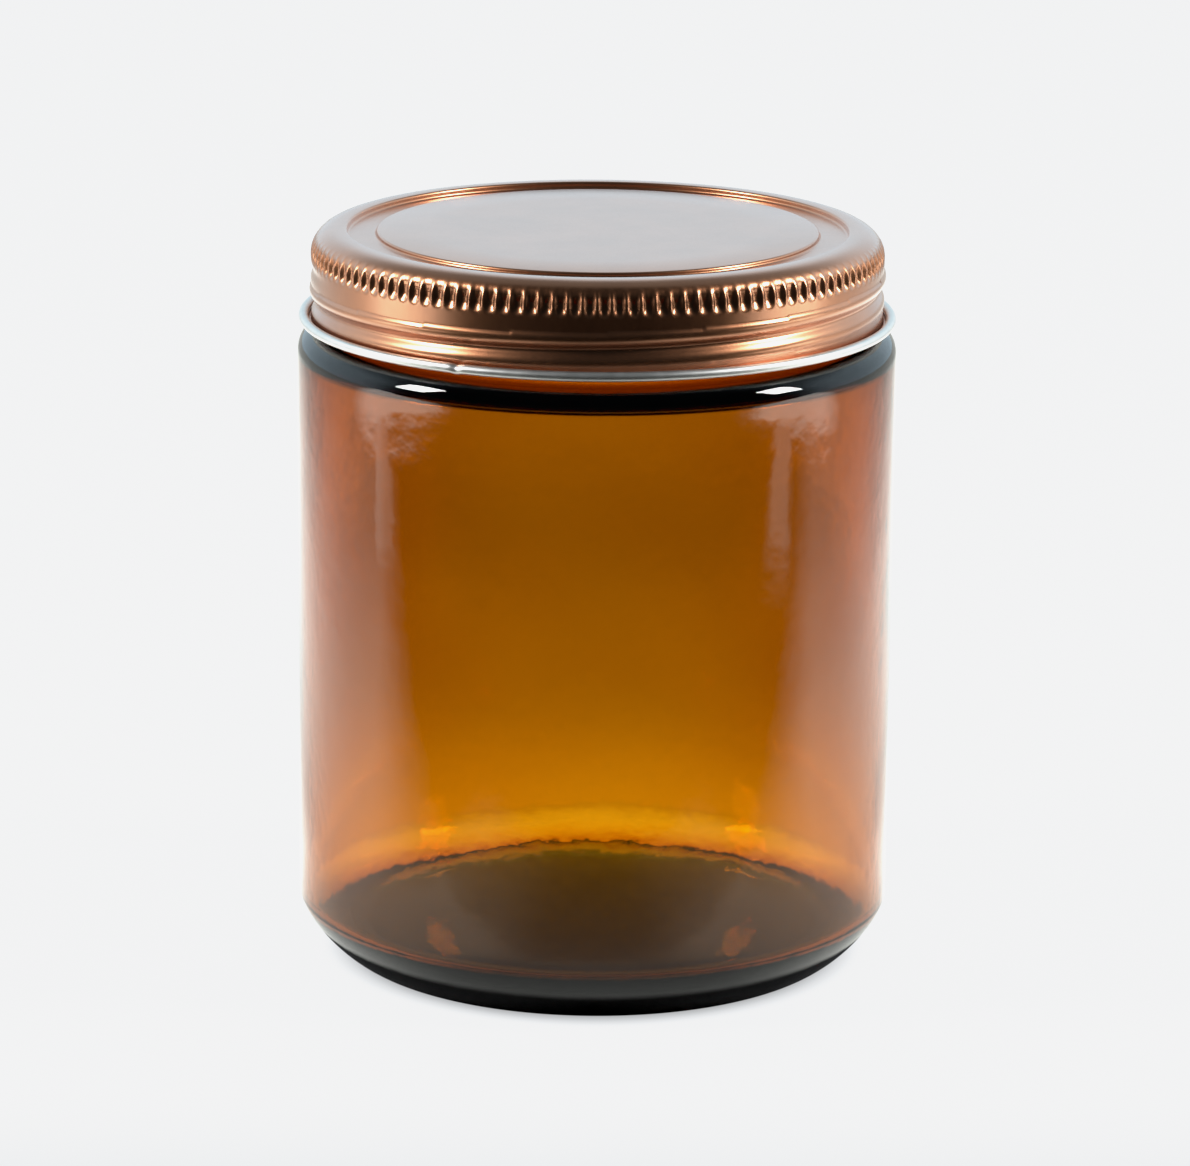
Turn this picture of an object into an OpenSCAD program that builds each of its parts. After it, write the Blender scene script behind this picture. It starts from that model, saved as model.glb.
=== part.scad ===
// Apothecary jar: a straight-sided amber glass jar with a one-piece metal screw lid.
// All sizes are millimetres. The origin is the centre of the surface that the jar
// stands on, and +Z points up through the middle of the lid.

/* [Glass body] */
// Outside diameter of the body
body_d = 73.5; // [72:0.5:90]
// Height at which the straight wall ends and the shoulder begins
wall_top = 76.1; // [40:0.1:140]
// Thickness of the side wall
wall_t = 1.5; // [1.2:0.1:2.5]
// Thickness of the side wall at its foot, above the heel
foot_t = 1.2; // [1:0.1:1.5]
// Height of the inside floor at its edge
floor_edge = 3.7; // [3.5:0.1:5]
// Height of the inside floor in the middle
floor_mid = 6.4; // [5.5:0.1:7]
// Radius of the rounded shoulder
shoulder_r = 3; // [2.5:0.1:4]
// Height of the rounded heel
heel_h = 7.2; // [6:0.2:10]
// Outer diameter of the ring that the jar stands on
stand_d = 60; // [54:1:66]
// Width of the ring that the jar stands on
stand_w = 2.5; // [1.5:0.5:4]
// Height of the hollow under the base
push_up = 1.6; // [0.5:0.1:2]

/* [Neck and thread] */
// Diameter over the crest of the jar's thread
thread_d = 69; // [68:0.1:69.4]
// Diameter of the neck between the turns of the thread
neck_d = 66; // [65.6:0.1:66.4]
// Diameter of the mouth
mouth_d = 61.2; // [58:0.2:62]
// Height from the top of the shoulder to the rim
neck_h = 10; // [9.8:0.1:12]
// Rise of the thread in one turn
lead = 4.2333; // [4.2333:0.0001:4.2334]

/* [Lid] */
// Thickness of the sheet metal
sheet_t = 0.25; // [0.22:0.01:0.28]
// Radius of the lid's rounded outer edge
edge_r = 3; // [2.9:0.1:3.2]
// Diameter of the raised flat panel in the middle
panel_d = 54.1; // [40:0.1:55]
// Diameter of the inside edge of the outer crest
crest_d = 61.2; // [58:0.1:61.8]
// Depth of the stepped groove below the outer crest
groove_depth = 0.85; // [0.7:0.05:1]
// Depth of the stepped groove below the flat panel
panel_rise = 0.62; // [0.61:0.01:0.8]
// Number of flutes in the grip band
flute_count = 128; // [96:1:140]
// Depth of the flutes
flute_depth = 0.5; // [0.3:0.05:0.5]
// Outer radius of the rolled wire edge's section
curl_r = 0.6; // [0.5:0.05:0.7]
// Clearance between the jar's thread and the lid's skirt
thread_gap = 0.2; // [0.15:0.05:0.3]

/* [Liner] */
// Diameter of the liner
liner_d = 67.2; // [66.8:0.1:67.4]
// Thickness of the board
board_t = 0.75; // [0.6:0.05:0.8]
// Thickness of the facing film
film_t = 0.15; // [0.1:0.05:0.2]
// Gap above and below the liner
liner_gap = 0.05; // [0.03:0.01:0.1]

/* [Hidden] */
$fn = 96;

body_r = body_d / 2;
inner_r = body_r - wall_t;
foot_r = body_r - foot_t;
neck_r = neck_d / 2;
mouth_r = mouth_d / 2;
thread_r = thread_d / 2;

// Heights, from the floor up
shoulder_top = wall_top + shoulder_r;
rim_z = shoulder_top + neck_h;
film_z = rim_z + liner_gap;
board_z = film_z + film_t;
groove_z = board_z + board_t + liner_gap + sheet_t;
panel_z = groove_z + panel_rise;
crest_z = groove_z + groove_depth;

// Glass: the curve of the heel, the fillets and the thickness at the shoulder
heel_power = 1.5;
heel_steps = 14;
arc_steps = 8;
inner_heel_w = 5.8;
inner_heel_h = 4.3;
full_wall_z = 45;
shoulder_t = 2.8;
inner_shoulder_r = 1.1;
neck_fillet = 0.3;
throat_fillet = 3;
rim_outer_r = 1;
rim_inner_r = 0.8;

// Lid: radii of the skirt, the grip band and the small bends in the sheet
skirt_in = thread_r + thread_gap;
skirt_out = skirt_in + sheet_t;
grip_r = skirt_out + 0.1;
grip_in = grip_r - flute_depth - sheet_t;
bend = 0.3;
grip_bottom = crest_z - 4;
grip_top = crest_z - 1.1;
grip_run = 0.3;

// Lid: the rolled edge at the bottom of the skirt
lid_h = 11.4;
lid_bottom = crest_z - lid_h;
curl_gap = 0.41;
curl_x = skirt_out + curl_gap + curl_r;
curl_z = lid_bottom + curl_r;
curl_end = 200;
hem_bend = 0.2;

// Threads: the lid's bead lies below the jar's ridge, on the same right-handed helix
bead_depth = 0.55;
bead_half = 1;
bead_tip_half = 0.3;
bead_z = rim_z - 4.94;
bead_start = -230;
bead_end = 200;
ridge_above_bead = 1.5;
ridge_half = 1.25;
ridge_tip_half = 0.45;
ridge_start = -360;
ridge_end = 60;
buried = 0.3;
fade_angle = 40;
thread_step = 5;

// Points along an arc about [x, z], from angle a to angle b
function arc(x, z, r, a, b, steps = arc_steps) =
    [for (i = [0 : steps])
        let (t = a + (b - a) * i / steps)
        [x + r * cos(t), z + r * sin(t)]];

// Heel: a flattened quarter ellipse from the standing ring up to the wall
function heel() =
    [for (i = [0 : heel_steps])
        let (t = 90 * i / heel_steps)
        [stand_d / 2 + (body_r - stand_d / 2) * pow(sin(t), heel_power),
         heel_h * (1 - pow(cos(t), heel_power))]];

// Underside: a shallow dome inside the standing ring
function under_dome() =
    let (edge = stand_d / 2 - stand_w)
    [for (i = [0 : arc_steps])
        let (s = i / arc_steps)
        [edge * s, push_up * (1 - s * s)]];

// Inside of the heel: a quarter ellipse from the foot of the wall down to the floor
function inner_heel() =
    [for (i = [0 : arc_steps])
        let (t = 90 * i / arc_steps)
        [foot_r - inner_heel_w * (1 - cos(t)), floor_edge + inner_heel_h * (1 - sin(t))]];

// Inside floor: a low dome that rises towards the middle
function inside_floor() =
    let (edge = foot_r - inner_heel_w)
    [for (i = [arc_steps - 1 : -1 : 0])
        let (s = i / arc_steps)
        [edge * s, floor_mid - (floor_mid - floor_edge) * s * s]];

// Points of a closed ring of the thread, as a flat list for one angle
function thread_ring(section, angle, rise) =
    [for (p = section) [p[0] * cos(angle), p[0] * sin(angle), p[1] + rise]];

// How far the thread stands out at this angle: it fades in and out at its ends
function fade(angle, start, end) =
    max(0.1, min(1, (angle - start) / fade_angle, (end - angle) / fade_angle));

// A four-sided section of a thread, from its root to its tip
function thread_section(root, tip, root_half, tip_half, f) =
    let (reach = root + (tip - root) * f)
    tip > root
        ? [[root, -root_half], [reach, -tip_half], [reach, tip_half], [root, root_half]]
        : [[root, root_half], [reach, tip_half], [reach, -tip_half], [root, -root_half]];

// A helical bar that climbs by lead in each turn
module thread(root, tip, root_half, tip_half, z, start, end) {
    steps = round((end - start) / thread_step);
    rings = [for (i = [0 : steps])
        let (angle = start + (end - start) * i / steps)
        thread_ring(thread_section(root, tip, root_half, tip_half, fade(angle, start, end)),
                    angle, z + lead * angle / 360)];
    points = [for (ring = rings) each ring];
    sides = [for (i = [0 : steps - 1])
        for (j = [0 : 3])
        let (k = (j + 1) % 4)
        [4 * i + j, 4 * i + k, 4 * i + 4 + k, 4 * i + 4 + j]];
    start_cap = [[3, 2, 1, 0]];
    end_cap = [[for (j = [0 : 3]) 4 * steps + j]];
    polyhedron(points, concat(sides, start_cap, end_cap), convexity = 6);
}

// The moulded glass: body, neck, rim and thread in one piece
module glass_jar() {
    color("sienna", 0.6)
    union() {
        rotate_extrude()
        polygon(concat(
            under_dome(),
            heel(),
            arc(body_r - shoulder_r, wall_top, shoulder_r, 0, 90),
            arc(neck_r + neck_fillet, shoulder_top + neck_fillet, neck_fillet, 270, 180),
            arc(neck_r - rim_outer_r, rim_z - rim_outer_r, rim_outer_r, 0, 90),
            arc(mouth_r + rim_inner_r, rim_z - rim_inner_r, rim_inner_r, 90, 180),
            arc(mouth_r + throat_fillet, shoulder_top - shoulder_t + throat_fillet,
                throat_fillet, 180, 270),
            arc(inner_r - inner_shoulder_r, shoulder_top - shoulder_t - inner_shoulder_r,
                inner_shoulder_r, 90, 0),
            [[inner_r, full_wall_z]],
            inner_heel(),
            inside_floor()
        ));
        thread(neck_r - buried, thread_r, ridge_half, ridge_tip_half,
               bead_z + ridge_above_bead, ridge_start, ridge_end);
    }
}

// The surface of the lid's top at a depth below its outer face
function lid_top(depth) = concat(
    [[0, panel_z - depth]],
    arc(panel_d / 2 - bend, panel_z - bend, bend - depth, 90, 0, 4),
    arc(panel_d / 2 + bend, groove_z + bend, bend + depth, 180, 270, 4),
    arc(crest_d / 2 - bend, groove_z + bend, bend + depth, 270, 360, 4),
    arc(crest_d / 2 + bend, crest_z - bend, bend - depth, 180, 90, 4)
);

// The shell's section: top, rounded edge, skirt and rolled wire edge
module lid_section() {
    inside_edge = edge_r - sheet_t;
    inside_angle = acos((grip_in - (grip_r - edge_r)) / inside_edge);
    inside = concat(
        lid_top(sheet_t),
        arc(grip_r - edge_r, crest_z - edge_r, inside_edge, 90, inside_angle),
        [[grip_in, grip_bottom - grip_run], [skirt_in, grip_bottom - 2 * grip_run]],
        arc(skirt_in + hem_bend, lid_bottom + hem_bend, hem_bend, 180, 270, 4)
    );
    outside = concat(
        lid_top(0),
        arc(grip_r - edge_r, crest_z - edge_r, edge_r, 90, 0, 2 * arc_steps),
        [[grip_r, grip_bottom - grip_run], [skirt_out, grip_bottom - 2 * grip_run]],
        arc(skirt_out + hem_bend, lid_bottom + sheet_t + hem_bend, hem_bend, 180, 270, 4),
        arc(curl_x, curl_z, curl_r - sheet_t, -90, curl_end, 3 * arc_steps),
        arc(curl_x, curl_z, curl_r, curl_end, -90, 3 * arc_steps)
    );
    reversed = [for (i = [len(inside) - 1 : -1 : 0]) inside[i]];
    polygon(concat(outside, reversed));
}

// Everything outside the ribs of the grip band
module flute_cutter() {
    pitch = 360 / flute_count;
    land = 0.16;
    floor_part = 0.34;
    clear = 0.2;
    ribs = [for (i = [0 : flute_count - 1])
        for (p = [[-land, grip_r + clear], [land, grip_r + clear],
                  [0.5 - floor_part / 2, grip_r - flute_depth],
                  [0.5 + floor_part / 2, grip_r - flute_depth]])
        let (t = (i + p[0]) * pitch)
        [p[1] * cos(t), p[1] * sin(t)]];
    translate([0, 0, grip_bottom])
    linear_extrude(grip_top - grip_bottom)
    difference() {
        circle(r = grip_r + 2 * clear);
        polygon(ribs);
    }
}

// The drawn sheet-metal lid, with its grip band, rolled thread and rolled wire edge
module lid_shell() {
    root = skirt_in + sheet_t / 2;
    bead_slope = (bead_half - bead_tip_half) / bead_depth;
    cut_root = skirt_out + buried;
    cut_tip = skirt_in - bead_depth + sheet_t;
    cut_tip_half = bead_tip_half / 2;
    color("peru")
    difference() {
        union() {
            rotate_extrude() lid_section();
            thread(root, skirt_in - bead_depth, bead_half + bead_slope * sheet_t / 2,
                   bead_tip_half, bead_z, bead_start, bead_end);
        }
        flute_cutter();
        thread(cut_root, cut_tip, cut_tip_half + bead_slope * (cut_root - cut_tip),
               cut_tip_half, bead_z, bead_start, bead_end);
    }
}

// The liner's backing disc
module liner_board() {
    color("wheat")
    translate([0, 0, board_z])
    cylinder(h = board_t, d = liner_d);
}

// The facing under the board, which the rim of the jar presses on
module liner_film() {
    color("white")
    translate([0, 0, film_z])
    cylinder(h = film_t, d = liner_d);
}

glass_jar();
lid_shell();
liner_board();
liner_film();
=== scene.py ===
"""Looks of the apothecary jar: an amber glass jar with a copper-coloured screw lid."""
import math

import bpy
import numpy as np
from mathutils import Matrix, Vector


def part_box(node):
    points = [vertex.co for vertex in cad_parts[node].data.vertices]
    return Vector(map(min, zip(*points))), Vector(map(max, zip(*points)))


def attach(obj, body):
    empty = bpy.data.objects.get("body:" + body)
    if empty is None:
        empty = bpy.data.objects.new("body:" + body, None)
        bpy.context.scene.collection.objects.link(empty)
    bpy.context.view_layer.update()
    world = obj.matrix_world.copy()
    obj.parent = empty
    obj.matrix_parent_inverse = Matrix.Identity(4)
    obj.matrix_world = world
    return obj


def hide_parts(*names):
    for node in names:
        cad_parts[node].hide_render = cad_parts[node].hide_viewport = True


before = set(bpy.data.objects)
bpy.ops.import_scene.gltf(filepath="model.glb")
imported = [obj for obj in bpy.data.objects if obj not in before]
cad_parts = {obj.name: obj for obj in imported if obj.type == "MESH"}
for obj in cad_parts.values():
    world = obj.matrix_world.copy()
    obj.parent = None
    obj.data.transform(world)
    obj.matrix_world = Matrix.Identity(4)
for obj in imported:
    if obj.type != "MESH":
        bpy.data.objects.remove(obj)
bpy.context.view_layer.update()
MM = 0.001

# ---------------------------------------------------------------- sizes, in mm, from the frame
jar_low, jar_high = (np.array(c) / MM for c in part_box("glass_jar"))
lid_low, lid_high = (np.array(c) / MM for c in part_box("lid_shell"))
board_low, board_high = (np.array(c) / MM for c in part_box("liner_board"))
film_low, film_high = (np.array(c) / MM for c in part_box("liner_film"))

BODY_R = jar_high[0]
RIM_Z = jar_high[2]
LID_TOP = lid_high[2]
LID_BOTTOM = lid_low[2]
LINER_R = board_high[0]

# Glass
WALL = 1.5
FOOT_WALL = 1.2
FULL_WALL_Z = 45.0
SHOULDER_R = 3.0
NECK_H = 10.0
WALL_TOP = RIM_Z - NECK_H - SHOULDER_R
NECK_R = 33.0
MOUTH_R = 30.6
STAND_R = 30.0
STAND_W = 2.5
PUSH_UP = 1.6
HEEL_H = 7.2
HEEL_POWER = 1.5
FLOOR_EDGE = 3.7
FLOOR_MID = 6.4
INNER_HEEL_W = 5.8
INNER_HEEL_H = 4.3
NECK_FILLET = 0.3
THROAT = 3.0
INNER_CORNER = 1.1
SHOULDER_T = 2.8
# how much more or less the foot wall, the floor's edge (mm) and the inner heel (share) have at the back
LEAN_FOOT = 0.1
LEAN_EDGE = 0.35
LEAN_WIDE = 0.155
LEAN_TALL = 0.093

# Thread, shared by the jar and the lid: the height at azimuth 0 and the rise in one turn
LEAD = 4.2333
BEAD_Z = RIM_Z - 4.84
RIDGE_Z = BEAD_Z + 1.4

# Lid
SHEET = 0.25
SKIRT_R = 34.95
GRIP_R = 35.05
EDGE_R = 3.0
PANEL_R = 27.05
CREST_R = 30.6
PANEL_Z = LID_TOP - 0.23
GROOVE_Z = LID_TOP - 0.85
BEND = 0.3
FLUTES = 128
CURL_R = 0.6
CURL_X = SKIRT_R + 0.41 + CURL_R


# ---------------------------------------------------------------- mesh helpers
def arc(x, z, r, a, b, steps):
    """Points along an arc about (x, z), from angle a to b in degrees."""
    t = np.radians(np.linspace(a, b, steps + 1))
    return np.stack([x + r * np.cos(t), z + r * np.sin(t)], 1)


def line(p, q, step):
    """Points from p towards q, q left out, about step apart."""
    p, q = np.array(p, float), np.array(q, float)
    n = max(1, int(round(np.hypot(*(q - p)) / step)))
    return p + (q - p) * np.arange(n)[:, None] / n


def smooth(x, lo, hi):
    """0 below lo, 1 above hi and a smooth rise between."""
    t = np.clip((x - lo) / (hi - lo), 0, 1)
    return t * t * (3 - 2 * t)


def revolved(name, section, columns, shape, material_of=None):
    """A closed mesh: a section from axis to axis turned about +Z.

    section is points (r, z) whose first and last lie on the axis, and shape(r, z, angle)
    returns the r and z that each point really has at each angle. material_of gives each
    row's material slot.
    """
    inner = section[1:-1]
    angle = np.linspace(0, 2 * np.pi, columns, endpoint=False)
    r, a = np.meshgrid(inner[:, 0], angle, indexing="ij")
    z = np.repeat(inner[:, 1:2], columns, 1)
    r, z = shape(r, z, a)
    verts = np.stack([r * np.cos(a), r * np.sin(a), z], 2).reshape(-1, 3)
    rows = len(inner)
    first, last = len(verts), len(verts) + 1
    verts = np.concatenate([verts, [[0, 0, section[0, 1]], [0, 0, section[-1, 1]]]])
    column = np.arange(columns)
    after = (column + 1) % columns
    faces, slots = [], []
    for i in range(rows - 1):
        low, high = i * columns, (i + 1) * columns
        quads = np.stack([low + column, low + after, high + after, high + column], 1)
        faces += quads.tolist()
        slots += [material_of(i) if material_of else 0] * columns
    faces += np.stack([np.full(columns, first), after, column], 1).tolist()
    end = (rows - 1) * columns
    faces += np.stack([np.full(columns, last), end + column, end + after], 1).tolist()
    slots += [0] * (2 * columns)
    mesh = bpy.data.meshes.new(name)
    mesh.from_pydata((verts * MM).tolist(), [], faces)
    mesh.polygons.foreach_set("material_index", slots)
    mesh.polygons.foreach_set("use_smooth", [True] * len(faces))
    mesh.update()
    piece = bpy.data.objects.new(name, mesh)
    bpy.context.scene.collection.objects.link(piece)
    return piece


def turn(angle, z, height, start, end, fade=40.0):
    """Signed height above the nearest turn of a helix, and how fully formed it is there.

    height is the helix's height at azimuth 0, and it runs from start to end degrees.
    """
    degrees = np.degrees(angle)
    best = np.full(z.shape, 99.0)
    formed = np.zeros(z.shape)
    for k in range(-2, 2):
        t = degrees + 360 * k
        above = z - (height + LEAD * t / 360)
        here = smooth(t, start, start + fade) * (1 - smooth(t, end - fade, end))
        closer = np.abs(above) < np.abs(best)
        best = np.where(closer, above, best)
        formed = np.where(closer, here, formed)
    return best, formed


# ---------------------------------------------------------------- glass jar
def jar_section():
    """The glass from the middle of the underside, round the outside and back inside: the
    points down to the full wall's end, and the points of the inside of the base."""
    stand_in = STAND_R - STAND_W
    s = np.linspace(0, 1, 10)
    dome = np.stack([stand_in * s, PUSH_UP * (1 - s * s)], 1)
    t = np.radians(np.linspace(0, 90, 25))
    heel = np.stack([STAND_R + (BODY_R - STAND_R) * np.sin(t) ** HEEL_POWER,
                     HEEL_H * (1 - np.cos(t) ** HEEL_POWER)], 1)
    shoulder_top = WALL_TOP + SHOULDER_R
    inner_r = BODY_R - WALL
    foot_r = BODY_R - FOOT_WALL
    fillet, throat, corner = NECK_FILLET, THROAT, INNER_CORNER
    ceiling = shoulder_top - SHOULDER_T
    t = np.radians(np.linspace(0, 90, 21))
    inner_heel = np.stack([foot_r - INNER_HEEL_W * (1 - np.cos(t)),
                           FLOOR_EDGE + INNER_HEEL_H * (1 - np.sin(t))], 1)
    s = np.linspace(0, 1, 24)[-2::-1]
    inside_floor = np.stack([(foot_r - INNER_HEEL_W) * s,
                             FLOOR_MID - (FLOOR_MID - FLOOR_EDGE) * s * s], 1)
    down_to_base = np.concatenate([
        dome,
        heel,
        line((BODY_R, HEEL_H + 2), (BODY_R, WALL_TOP), 2.0),
        arc(BODY_R - SHOULDER_R, WALL_TOP, SHOULDER_R, 0, 90, 14),
        arc(NECK_R + fillet, shoulder_top + fillet, fillet, 270, 180, 6),
        line((NECK_R, shoulder_top + fillet + 0.2), (NECK_R, RIM_Z - 1), 0.2),
        arc(NECK_R - 1, RIM_Z - 1, 1, 0, 90, 8),
        arc(MOUTH_R + 0.8, RIM_Z - 0.8, 0.8, 90, 180, 8),
        line((MOUTH_R, RIM_Z - 1.5), (MOUTH_R, ceiling + throat), 1.5),
        arc(MOUTH_R + throat, ceiling + throat, throat, 180, 270, 8),
        arc(inner_r - corner, ceiling - corner, corner, 90, 0, 10),
        line((inner_r, ceiling - corner - 2), (inner_r, FULL_WALL_Z), 2.0),
    ])
    base = np.concatenate([
        line((inner_r, FULL_WALL_Z), (foot_r, FLOOR_EDGE + INNER_HEEL_H), 2.0),
        inner_heel,
        inside_floor,
    ])
    return down_to_base, base


def jar_shape(r, z, a):
    """Adds the thread and the slight unevenness of pressed glass."""
    above, formed = turn(a, z, RIDGE_Z, -360, 60)
    on_neck = (np.abs(r - NECK_R) < 0.01) & (z > WALL_TOP + SHOULDER_R + 0.5)
    ridge = 1.5 * formed * (1 - smooth(np.abs(above), 0.35, 1.35))
    r = r + np.where(on_neck, ridge, 0)
    outside = smooth(r, BODY_R - 0.9, BODY_R - 0.3)
    wall = smooth(z, 8, 18) * (1 - smooth(z, WALL_TOP - 14, WALL_TOP - 4))
    inside = smooth(r, 34.6, 35.0) * (1 - outside)
    ripple = (np.sin(3 * a + 0.06 * z + 0.7) + 0.7 * np.sin(7 * a - 0.11 * z + 2.1)
              + 0.5 * np.sin(11 * a + 0.23 * z))
    r = r - outside * wall * 0.012 * (ripple + 2.2)
    uneven = (np.sin(2 * a + 0.05 * z + 1.3) + 0.6 * np.sin(5 * a + 0.13 * z + 4.0)
              + 0.4 * np.sin(9 * a - 0.31 * z))
    r = r + inside * wall * 0.03 * uneven
    return r, z


def lean_base(r, z, a):
    """The inside of the base leans: the glass is a little thicker towards the camera."""
    back = np.sin(a)
    foot_r = BODY_R - FOOT_WALL
    floor_r = foot_r - INNER_HEEL_W
    heel_top = FLOOR_EDGE + INNER_HEEL_H
    foot = LEAN_FOOT * back
    wide, tall, drop = 1 - LEAN_WIDE * back, 1 - LEAN_TALL * back, LEAN_EDGE * back
    slope = (FLOOR_MID - FLOOR_EDGE + drop) / (FLOOR_MID - FLOOR_EDGE)
    on_wall = z > heel_top + 0.01
    on_heel = r > floor_r
    wall_r = r + foot * (FULL_WALL_Z - z) / (FULL_WALL_Z - heel_top)
    heel_r = foot_r + foot - (foot_r - r) * wide
    flat_r = r * (foot_r + foot - INNER_HEEL_W * wide) / floor_r
    heel_z = FLOOR_EDGE - drop + (z - FLOOR_EDGE) * tall
    flat_z = FLOOR_MID - (FLOOR_MID - z) * slope
    r = np.where(on_wall, wall_r, np.where(on_heel, heel_r, flat_r))
    z = np.where(on_wall, z, np.where(on_heel, heel_z, flat_z))
    return r, z


# ---------------------------------------------------------------- lid
def lid_top(depth, steps):
    """The top of the lid at a depth below its outer face, from the axis to the crest."""
    return np.concatenate([
        line((0, PANEL_Z - depth), (PANEL_R - BEND, PANEL_Z - depth), 6.0),
        arc(PANEL_R - BEND, PANEL_Z - BEND, BEND - depth, 90, 0, steps),
        arc(PANEL_R + BEND, GROOVE_Z + BEND, BEND + depth, 180, 270, steps),
        arc(CREST_R - BEND, GROOVE_Z + BEND, BEND + depth, 270, 360, steps),
        arc(CREST_R + BEND, LID_TOP - BEND, BEND - depth, 180, 90, steps),
    ])


def lid_section():
    """The sheet from the middle of the top, down the outside, round the rolled edge and
    back up the inside. Returns the points and the range of rows that the curl takes."""
    edge_x, edge_z = GRIP_R - EDGE_R, LID_TOP - EDGE_R
    curl_z = LID_BOTTOM + CURL_R
    hem = 0.2
    skirt_in = SKIRT_R - SHEET
    outside = np.concatenate([
        lid_top(0, 4),
        arc(edge_x, edge_z, EDGE_R, 90, 30, 5),
        arc(edge_x, edge_z, EDGE_R, 26, 0, 7),
        line((GRIP_R, edge_z - 0.2), (SKIRT_R, LID_BOTTOM + SHEET + hem), 0.22),
        arc(SKIRT_R + hem, LID_BOTTOM + SHEET + hem, hem, 180, 270, 3),
    ])
    curl = np.concatenate([
        arc(CURL_X, curl_z, CURL_R - SHEET, -90, 200, 12),
        arc(CURL_X, curl_z, CURL_R, 200, -90, 20),
    ])
    inside = np.concatenate([
        arc(skirt_in + hem, LID_BOTTOM + hem, hem, 270, 180, 3),
        line((skirt_in, LID_BOTTOM + 0.5), (skirt_in, edge_z - 0.2), 0.35),
        arc(edge_x, edge_z, EDGE_R - SHEET, 0, 90, 8),
        lid_top(SHEET, 2)[::-1],
    ])
    section = np.concatenate([outside, curl, inside])
    return section, (len(outside) - 1, len(outside) + len(curl) + 2)


def flute_depth(z, a):
    """How deep the flutes of the grip band are: upright slots, round at the top, that run
    out towards the bottom."""
    pitch = 2 * np.pi / FLUTES
    across = (np.mod(a / pitch, 1) - 0.5) * pitch * GRIP_R
    half, low, high = 0.62, LID_TOP - 3.9, LID_TOP - 1.15
    above = np.maximum(0, z - (high - half))
    below = 0.7 * np.maximum(0, (low + half) - z)
    slot = 1 - smooth(np.hypot(across, above + below), half - 0.36, half + 0.18)
    return 0.5 * slot * smooth(z, low - 0.3, low + 1.0)


def lid_shape(r, z, a):
    """Presses the flutes and the thread into the sheet and bumps the rolled edge."""
    edge_z = LID_TOP - EDGE_R
    on_skirt = (r > GRIP_R - 0.9) & (r < GRIP_R + 0.05) & (z > LID_BOTTOM + 0.6)
    upper = (z > edge_z) & (r > GRIP_R - EDGE_R)
    above, formed = turn(a, z, BEAD_Z, -232, 205)
    groove = 0.55 * formed * np.exp(-(above / 0.62) ** 2)
    swell = 0.24 * np.exp(-((above - 1.55) / 0.7) ** 2) * formed
    swell = swell + 0.12 * np.exp(-((above + 1.45) / 0.6) ** 2) * formed
    swell = swell * (1 - smooth(z, 86.6, 87.4)) * smooth(z, LID_BOTTOM + 0.7, LID_BOTTOM + 1.4)
    flute = flute_depth(z, a)
    press = np.where(on_skirt, flute + groove - swell, 0)
    press = np.where(upper, np.minimum(flute, np.maximum(0, r - (GRIP_R - 0.55))), press)
    curl = smooth(r, SKIRT_R + 0.2, SKIRT_R + 0.5)
    dent = np.exp(-(((np.degrees(a) - 243) / 0.9) ** 2))
    r = r - press - 0.14 * dent * curl
    z = z - 0.16 * dent * curl
    return r, z


# ---------------------------------------------------------------- liner
def disc_section(low, high, radius, bevel, pressed):
    """A disc with soft edges, and a ring pressed into its underside by the rim."""
    ring = (MOUTH_R + NECK_R) / 2
    under = np.array([[r, low + pressed * math.exp(-((r - ring) / 0.9) ** 4)]
                      for r in np.linspace(0, radius - bevel, 40)])
    side = np.concatenate([
        arc(radius - bevel, low + bevel, bevel, -90, 0, 4)[1:],
        arc(radius - bevel, high - bevel, bevel, 0, 90, 4),
    ])
    return np.concatenate([under, side, line((radius - 4, high), (0, high), 6.0), [[0, high]]])


def unchanged(r, z, a):
    """No change to the turned shape."""
    return r, z


# ---------------------------------------------------------------- materials
def new_material(name):
    """An empty node material with a Principled shader: material, nodes, links, shader."""
    material = bpy.data.materials.new(name)
    material.use_nodes = True
    nodes, links = material.node_tree.nodes, material.node_tree.links
    return material, nodes, links, nodes["Principled BSDF"]


def add(nodes, kind, **values):
    """A node whose sockets and properties are set by name."""
    node = nodes.new(kind)
    for key, value in values.items():
        if key in node.inputs:
            node.inputs[key].default_value = value
        else:
            setattr(node, key, value)
    return node


def amber_glass():
    """Clear amber glass: the colour comes from absorption, the surface is faintly rippled."""
    material, nodes, links, shader = new_material("amber_glass")
    shader.inputs["Base Color"].default_value = (1, 1, 1, 1)
    shader.inputs["Transmission Weight"].default_value = 1
    shader.inputs["IOR"].default_value = 1.52
    shader.inputs["Roughness"].default_value = 0.0
    where = add(nodes, "ShaderNodeTexCoord")
    ripple = add(nodes, "ShaderNodeTexNoise", Scale=160.0, Detail=2.0, Roughness=0.5)
    fine = add(nodes, "ShaderNodeTexNoise", Scale=900.0, Detail=1.0)
    both = add(nodes, "ShaderNodeMath", operation="MULTIPLY_ADD")
    both.inputs[1].default_value = 0.12
    bump = add(nodes, "ShaderNodeBump", Strength=0.10, Distance=0.0006)
    links.new(where.outputs["Object"], ripple.inputs["Vector"])
    links.new(where.outputs["Object"], fine.inputs["Vector"])
    links.new(fine.outputs["Fac"], both.inputs[0])
    links.new(ripple.outputs["Fac"], both.inputs[2])
    links.new(both.outputs[0], bump.inputs["Height"])
    links.new(bump.outputs["Normal"], shader.inputs["Normal"])
    volume = add(nodes, "ShaderNodeVolumeAbsorption")
    volume.inputs["Color"].default_value = (0.882, 0.738, 0.0, 1)
    volume.inputs["Density"].default_value = 3000.0
    output = nodes["Material Output"]
    links.new(volume.outputs["Volume"], output.inputs["Volume"])
    return material


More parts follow.
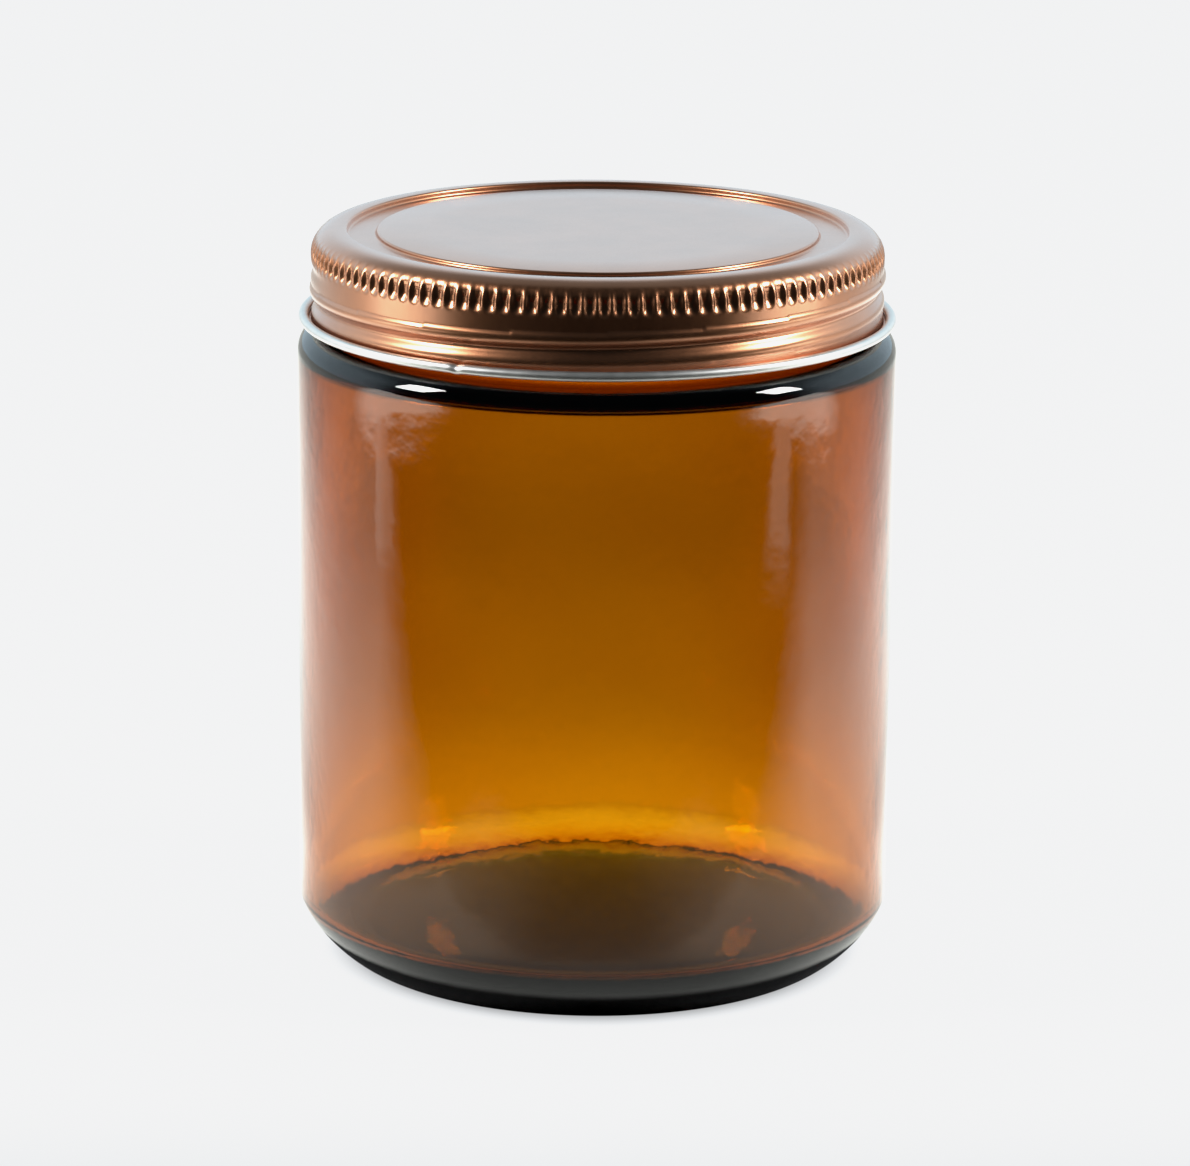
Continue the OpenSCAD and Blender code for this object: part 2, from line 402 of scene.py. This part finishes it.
def copper_lacquer():
    """Satin copper lacquer on tinplate: metallic, with a fine grain drawn up the skirt."""
    material, nodes, links, shader = new_material("copper_lacquer")
    shader.inputs["Metallic"].default_value = 1.0
    shader.inputs["Coat Weight"].default_value = 1.0
    shader.inputs["Coat Roughness"].default_value = 0.2
    shader.inputs["Coat IOR"].default_value = 1.5
    where = add(nodes, "ShaderNodeTexCoord")
    cloud = add(nodes, "ShaderNodeTexNoise", Scale=90.0, Detail=4.0, Roughness=0.6)
    colour = add(nodes, "ShaderNodeValToRGB")
    colour.color_ramp.elements[0].position = 0.3
    colour.color_ramp.elements[0].color = (0.50, 0.21, 0.10, 1)
    colour.color_ramp.elements[1].position = 0.7
    colour.color_ramp.elements[1].color = (0.60, 0.255, 0.125, 1)
    drawn = add(nodes, "ShaderNodeVectorMath", operation="MULTIPLY")
    drawn.inputs[1].default_value = (1.0, 1.0, 0.12)
    grain = add(nodes, "ShaderNodeTexNoise", Scale=5200.0, Detail=2.0)
    rough = add(nodes, "ShaderNodeMapRange")
    rough.inputs["To Min"].default_value = 0.25
    rough.inputs["To Max"].default_value = 0.36
    bump = add(nodes, "ShaderNodeBump", Strength=0.15, Distance=0.00005)
    links.new(where.outputs["Object"], cloud.inputs["Vector"])
    links.new(where.outputs["Object"], drawn.inputs[0])
    links.new(drawn.outputs["Vector"], grain.inputs["Vector"])
    links.new(cloud.outputs["Fac"], colour.inputs["Fac"])
    links.new(colour.outputs["Color"], shader.inputs["Base Color"])
    links.new(grain.outputs["Fac"], rough.inputs["Value"])
    links.new(rough.outputs["Result"], shader.inputs["Roughness"])
    links.new(grain.outputs["Fac"], bump.inputs["Height"])
    links.new(bump.outputs["Normal"], shader.inputs["Normal"])
    return material


def bare_tinplate():
    """The bare metal of the rolled edge."""
    material, nodes, links, shader = new_material("bare_tinplate")
    shader.inputs["Metallic"].default_value = 1.0
    where = add(nodes, "ShaderNodeTexCoord")
    streak = add(nodes, "ShaderNodeTexNoise", Scale=700.0, Detail=3.0)
    colour = add(nodes, "ShaderNodeValToRGB")
    colour.color_ramp.elements[0].position = 0.25
    colour.color_ramp.elements[0].color = (0.80, 0.80, 0.77, 1)
    colour.color_ramp.elements[1].position = 0.75
    colour.color_ramp.elements[1].color = (0.88, 0.88, 0.86, 1)
    rough = add(nodes, "ShaderNodeMapRange")
    rough.inputs["To Min"].default_value = 0.36
    rough.inputs["To Max"].default_value = 0.46
    links.new(where.outputs["Object"], streak.inputs["Vector"])
    links.new(streak.outputs["Fac"], colour.inputs["Fac"])
    links.new(colour.outputs["Color"], shader.inputs["Base Color"])
    links.new(streak.outputs["Fac"], rough.inputs["Value"])
    links.new(rough.outputs["Result"], shader.inputs["Roughness"])
    return material


def speckled(name, dark, light, scale, roughness):
    """A matt sheet whose colour and surface vary a little, such as pulp board or film."""
    material, nodes, links, shader = new_material(name)
    shader.inputs["Roughness"].default_value = roughness
    where = add(nodes, "ShaderNodeTexCoord")
    speck = add(nodes, "ShaderNodeTexNoise", Scale=scale, Detail=5.0, Roughness=0.7)
    colour = add(nodes, "ShaderNodeValToRGB")
    colour.color_ramp.elements[0].position = 0.35
    colour.color_ramp.elements[0].color = (*dark, 1)
    colour.color_ramp.elements[1].position = 0.65
    colour.color_ramp.elements[1].color = (*light, 1)
    bump = add(nodes, "ShaderNodeBump", Strength=0.2, Distance=0.0001)
    links.new(where.outputs["Object"], speck.inputs["Vector"])
    links.new(speck.outputs["Fac"], colour.inputs["Fac"])
    links.new(colour.outputs["Color"], shader.inputs["Base Color"])
    links.new(speck.outputs["Fac"], bump.inputs["Height"])
    links.new(bump.outputs["Normal"], shader.inputs["Normal"])
    return material


# ---------------------------------------------------------------- stage
# Painted light on the glowing paper, in multiples of display white, by distance from the jar's axis in
# mm
PAINTED_LIGHT_ROUND = ((36, 1.0), (60, 1.1), (100, 1.5), (145, 1.7), (200, 1.35), (255, 0.9), (320, 0.6))
# the same behind the jar, with the jar's own shadows painted in
PAINTED_LIGHT_BEHIND = ((36, 2.0), (55, 1.65), (80, 1.35), (120, 0.95), (170, 0.85), (220, 0.75), (280, 0.9))
# how much of it the jar mirrors by distance in front of the axis: on the camera's side the reflection
# is painted dark
MIRRORED_MIDDLE = ((30, 1.0), (58, 1.0), (66, 0.65), (80, 0.38), (97, 0.18), (115, 0.0))
MIRRORED_SIDES = ((18, 1.0), (30, 0.82), (43, 0.55), (57, 0.24), (72, 0.0))
# radii in mm over which the painted shadow under the jar rises to full light
PAINTED_SHADOW_UNDER_JAR = (33.7, 35.2)
SEEN_PAPER = 0.92

# Light that reaches the film and what it shows: straight up to the highlights, then flat
FILM = ((0.3, 0.3), (0.6, 0.61), (0.8, 0.80), (0.95, 0.885), (1.3, 0.905), (2.0, 0.915))


def ramp(nodes, links, value, low, high, to_low, to_high, kind="SMOOTHSTEP"):
    """A step of a value: the result goes from to_low to to_high between low and high."""
    step = add(nodes, "ShaderNodeMapRange", interpolation_type=kind)
    step.inputs["From Min"].default_value = low
    step.inputs["From Max"].default_value = high
    step.inputs["To Min"].default_value = to_low
    step.inputs["To Max"].default_value = to_high
    links.new(value, step.inputs["Value"])
    return step.outputs["Result"]


def product(nodes, links, one, other):
    """The product of two values."""
    times = add(nodes, "ShaderNodeMath", operation="MULTIPLY")
    for socket, value in zip(times.inputs, (one, other)):
        if isinstance(value, float):
            socket.default_value = value
        else:
            links.new(value, socket)
    return times.outputs[0]


def graph(nodes, links, value, points):
    """A smooth curve through points (mm, level) of a length in metres, flat beyond its ends."""
    peak = max(level for _, level in points)
    first, last = points[0][0], points[-1][0]
    along = ramp(nodes, links, value, first * MM, last * MM, 0.0, 1.0, "LINEAR")
    plot = add(nodes, "ShaderNodeFloatCurve")
    curve = plot.mapping.curves[0]
    curve.points[0].location = (0.0, points[0][1] / peak)
    curve.points[1].location = (1.0, points[-1][1] / peak)
    for place, level in points[1:-1]:
        curve.points.new((place - first) / (last - first), level / peak)
    plot.mapping.update()
    links.new(along, plot.inputs["Value"])
    return product(nodes, links, plot.outputs["Value"], float(peak))


def between(nodes, links, share, one, other):
    """One value where share is 0 and the other where it is 1. One may be a plain number."""
    mix = add(nodes, "ShaderNodeMix")
    links.new(share, mix.inputs["Factor"])
    if isinstance(one, float):
        mix.inputs["A"].default_value = one
    else:
        links.new(one, mix.inputs["A"])
    links.new(other, mix.inputs["B"])
    return mix.outputs["Result"]


def paper_light(nodes, links, x, y, away):
    """The painted light of the paper at a point, and how much of that the jar mirrors."""
    aside = add(nodes, "ShaderNodeMath", operation="ABSOLUTE")
    links.new(x, aside.inputs[0])
    ahead = product(nodes, links, y, -1.0)
    round_jar = graph(nodes, links, away, PAINTED_LIGHT_ROUND)
    behind_jar = graph(nodes, links, y, PAINTED_LIGHT_BEHIND)
    # painted shadow: in a band behind the jar the paper takes the darker levels
    shadow = product(nodes, links, ramp(nodes, links, aside.outputs[0], 0.045, 0.08, 1.0, 0.0),
                     ramp(nodes, links, y, 0.0, 0.036, 0.0, 1.0))
    lit = between(nodes, links, shadow, round_jar, behind_jar)
    # painted shade: in front of the jar the paper is darker near the middle
    near = ramp(nodes, links, aside.outputs[0], 0.015, 0.042, 0.55, 1.0)
    in_front = ramp(nodes, links, ahead, 0.0, 0.03, 0.0, 1.0)
    level = product(nodes, links, lit, between(nodes, links, in_front, 1.0, near))
    # painted reflection: the share of the paper the jar mirrors, dark on the camera's side
    middle = graph(nodes, links, ahead, MIRRORED_MIDDLE)
    sides = graph(nodes, links, ahead, MIRRORED_SIDES)
    mirrored = between(nodes, links, ramp(nodes, links, aside.outputs[0], 0.06, 0.09, 0.0, 1.0),
                       middle, sides)
    # painted pools of light beside the jar, at three times display white, which the jar mirrors
    beside = painted_side_light(nodes, links, x, y, aside.outputs[0])
    level = greater(nodes, links, level, product(nodes, links, beside, 3.0))
    return level, greater(nodes, links, mirrored, beside)


def greater(nodes, links, one, other):
    """The greater of two values."""
    most = add(nodes, "ShaderNodeMath", operation="MAXIMUM")
    links.new(one, most.inputs[0])
    links.new(other, most.inputs[1])
    return most.outputs[0]


def apart(nodes, links, value, middle):
    """How far a value lies from a middle."""
    gap = add(nodes, "ShaderNodeMath", operation="SUBTRACT")
    gap.inputs[1].default_value = middle
    links.new(value, gap.inputs[0])
    size = add(nodes, "ShaderNodeMath", operation="ABSOLUTE")
    links.new(gap.outputs[0], size.inputs[0])
    return size.outputs[0]


def painted_side_light(nodes, links, x, y, aside):
    """Painted light on the paper on each side, in place of the full light of the two lamps: a wide
    patch far out, which the lid mirrors, and a narrow strip towards the jar, which the top of the glass
    mirrors."""
    wide = product(nodes, links, ramp(nodes, links, aside, 0.29, 0.36, 0.0, 1.0),
                   ramp(nodes, links, apart(nodes, links, y, -0.09), 0.09, 0.20, 1.0, 0.0))
    tilted = add(nodes, "ShaderNodeMath", operation="MULTIPLY_ADD")
    tilted.inputs[1].default_value = 0.117
    links.new(x, tilted.inputs[0])
    links.new(y, tilted.inputs[2])
    strip = product(nodes, links, ramp(nodes, links, aside, 0.20, 0.26, 0.0, 0.6),
                    ramp(nodes, links, apart(nodes, links, tilted.outputs[0], -0.065),
                         0.012, 0.035, 1.0, 0.0))
    return greater(nodes, links, wide, strip)


def floor():
    """A wide pale floor that glows with painted light. The camera sees it nearly even, with a painted
    soft shade round the foot. What passes through or is mirrored by the jar sees an uneven painted
    floor: painted pools of light, painted shadow under and behind the jar, and painted dark on the
    photographer's side."""
    half = 4.0
    mesh = bpy.data.meshes.new("floor")
    mesh.from_pydata([(-half, -half, 0), (half, -half, 0), (half, half, 0), (-half, half, 0)],
                     [], [(0, 1, 2, 3)])
    piece = bpy.data.objects.new("floor", mesh)
    bpy.context.scene.collection.objects.link(piece)
    material, nodes, links, shader = new_material("floor_paper")
    material.cycles.emission_sampling = "NONE"
    # the floor's own colour is dark: its brightness is the painted glow
    shader.inputs["Base Color"].default_value = (0.08, 0.081, 0.082, 1)
    shader.inputs["Roughness"].default_value = 0.8
    shader.inputs["Specular IOR Level"].default_value = 0.1
    tint = add(nodes, "ShaderNodeMix", data_type="RGBA")
    tint.inputs["A"].default_value = (0.97, 0.99, 0.93, 1)
    tint.inputs["B"].default_value = (0.96, 0.98, 1, 1)
    where = add(nodes, "ShaderNodeNewGeometry")
    split = add(nodes, "ShaderNodeSeparateXYZ")
    path = add(nodes, "ShaderNodeLightPath")
    length = add(nodes, "ShaderNodeVectorMath", operation="LENGTH")
    stretched = add(nodes, "ShaderNodeVectorMath", operation="MULTIPLY")
    stretched.inputs[1].default_value = (1.0, 0.5, 1.0)
    oval = add(nodes, "ShaderNodeVectorMath", operation="LENGTH")
    links.new(path.outputs["Is Camera Ray"], tint.inputs["Factor"])
    links.new(tint.outputs["Result"], shader.inputs["Emission Color"])
    links.new(where.outputs["Position"], split.inputs[0])
    links.new(where.outputs["Position"], length.inputs[0])
    links.new(where.outputs["Position"], stretched.inputs[0])
    links.new(stretched.outputs["Vector"], oval.inputs[0])
    away = length.outputs["Value"]
    level, mirrored = paper_light(nodes, links, split.outputs["X"], split.outputs["Y"],
                                  oval.outputs["Value"])
    # painted shadow under the jar, for light that passes through or is mirrored by the jar
    shaded = ramp(nodes, links, away, PAINTED_SHADOW_UNDER_JAR[0] * MM, PAINTED_SHADOW_UNDER_JAR[1] * MM, 0.0, 1.0)
    level = product(nodes, links, level, shaded)
    # painted soft shade round the foot, and the floor a little darker towards the front, where the
    # camera sees it
    painted_contact_shade = ramp(nodes, links, away, 0.029, 0.0345, 0.45, 1.0)
    nearer = ramp(nodes, links, split.outputs["Y"], -0.1, -0.055, 0.82, 1.0)
    seen = product(nodes, links, product(nodes, links, painted_contact_shade, nearer), SEEN_PAPER)
    shown = between(nodes, links, path.outputs["Is Camera Ray"], level, seen)
    links.new(shown, shader.inputs["Emission Strength"])
    # painted dark reflection: glossy rays on the camera's side see this near-black glow in place of the
    # paper
    dark = add(nodes, "ShaderNodeEmission")
    dark.inputs["Color"].default_value = (0.01, 0.009, 0.008, 1)
    hidden = add(nodes, "ShaderNodeMath", operation="SUBTRACT")
    hidden.inputs[0].default_value = 1.0
    links.new(mirrored, hidden.inputs[1])
    mix = add(nodes, "ShaderNodeMixShader")
    links.new(product(nodes, links, hidden.outputs[0], path.outputs["Is Glossy Ray"]),
              mix.inputs[0])
    links.new(shader.outputs[0], mix.inputs[1])
    links.new(dark.outputs[0], mix.inputs[2])
    links.new(mix.outputs[0], nodes["Material Output"].inputs["Surface"])
    mesh.materials.append(material)
    return piece


def studio():
    """Soft light: a white room behind the jar, dark towards the camera and overhead."""
    world = bpy.data.worlds.new("studio")
    bpy.context.scene.world = world
    world.use_nodes = True
    nodes, links = world.node_tree.nodes, world.node_tree.links
    where = add(nodes, "ShaderNodeTexCoord")
    split = add(nodes, "ShaderNodeSeparateXYZ")
    path = add(nodes, "ShaderNodeLightPath")
    links.new(where.outputs["Generated"], split.inputs[0])
    behind = ramp(nodes, links, split.outputs["Y"], -0.35, 0.35, 0.0, 1.0)
    low = ramp(nodes, links, split.outputs["Z"], 0.35, 0.75, 1.0, 0.33)
    room = product(nodes, links, behind, low)
    bright = ramp(nodes, links, room, 0.0, 1.0, 0.02, 1.13)
    seen = add(nodes, "ShaderNodeMath", operation="MAXIMUM")
    links.new(bright, seen.inputs[0])
    links.new(path.outputs["Is Camera Ray"], seen.inputs[1])
    links.new(seen.outputs[0], nodes["Background"].inputs["Strength"])
    nodes["Background"].inputs["Color"].default_value = (0.69, 0.86, 0.97, 1)


def softbox(name, azimuth, distance, height, width, tall, radiance):
    """An upright area light that faces the jar. azimuth is degrees from the camera's side."""
    light = bpy.data.lights.new(name, "AREA")
    light.shape = "RECTANGLE"
    light.size, light.size_y = width, tall
    light.energy = radiance * math.pi * width * tall
    lamp = bpy.data.objects.new(name, light)
    angle = math.radians(azimuth)
    lamp.location = (distance * math.sin(angle), -distance * math.cos(angle), height)
    aim = Vector((0, 0, 0.06)) - lamp.location
    lamp.rotation_euler = aim.to_track_quat("-Z", "Y").to_euler()
    bpy.context.scene.collection.objects.link(lamp)


def film_curve(view):
    """Rolls off the highlights, so that the bright paper stays a little below white."""
    white = 3.0
    view.use_curve_mapping = True
    mapping = view.curve_mapping
    mapping.white_level = (white, white, white)
    curve = mapping.curves[3]
    curve.points[0].location = (0.0, 0.0)
    curve.points[1].location = (1.0, 0.92)
    for level, shown in FILM:
        curve.points.new(level / white, shown)
    mapping.update()


def camera():
    """The photograph's viewpoint."""
    data = bpy.data.cameras.new("camera")
    data.sensor_width = 36.0
    data.lens = 167.3
    data.clip_start = 0.01
    view = bpy.data.objects.new("camera", data)
    pitch, roll = 0.2541, 0.0085
    turned = Matrix.Rotation(math.pi / 2 - pitch, 4, "X") @ Matrix.Rotation(roll, 4, "Z")
    view.matrix_world = Matrix.Translation((0, -0.6645, 0.2189)) @ turned
    bpy.context.scene.collection.objects.link(view)
    bpy.context.scene.camera = view


# ---------------------------------------------------------------- the object
def build_jar():
    down_to_base, base = jar_section()
    split = len(down_to_base) - 1

    def shape(r, z, a):
        r, z = jar_shape(r, z, a)
        base_r, base_z = lean_base(r[split:], z[split:], a[split:])
        return np.concatenate([r[:split], base_r]), np.concatenate([z[:split], base_z])

    piece = revolved("jar_glass", np.concatenate([down_to_base, base]), 288, shape)
    piece.data.materials.append(amber_glass())
    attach(piece, "jar")
    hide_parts("glass_jar")


def build_lid():
    section, (curl_from, curl_to) = lid_section()

    def bare(row):
        return 1 if curl_from <= row < curl_to else 0

    piece = revolved("screw_lid", section, FLUTES * 8, lid_shape, bare)
    piece.data.materials.append(copper_lacquer())
    piece.data.materials.append(bare_tinplate())
    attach(piece, "lid")
    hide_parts("lid_shell")


def build_liner():
    board = revolved("liner_backing", disc_section(board_low[2], board_high[2], LINER_R, 0.15, 0.0),
                     128, unchanged)
    board.data.materials.append(speckled("pulp_board", (0.55, 0.47, 0.36), (0.68, 0.60, 0.48),
                                         900.0, 0.9))
    film = revolved("liner_facing", disc_section(film_low[2], film_high[2], LINER_R, 0.05, 0.06),
                    128, unchanged)
    film.data.materials.append(speckled("facing_film", (0.78, 0.78, 0.76), (0.86, 0.86, 0.85),
                                        300.0, 0.4))
    for piece, node, slot in ((board, "liner_board", "liner_board"),
                              (film, "liner_film", "liner_film")):
        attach(piece, "liner")
        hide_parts(node)


build_jar()
build_lid()
build_liner()
floor()
studio()
softbox("softbox_left", -76, 0.60, 0.42, 0.16, 0.24, 30)
softbox("softbox_right", 79, 0.60, 0.42, 0.16, 0.24, 30)
camera()
scene = bpy.context.scene
scene.view_settings.view_transform = "Standard"
film_curve(scene.view_settings)
scene.cycles.max_bounces = 24
scene.cycles.transmission_bounces = 24
scene.cycles.glossy_bounces = 12
scene.cycles.use_denoising = True
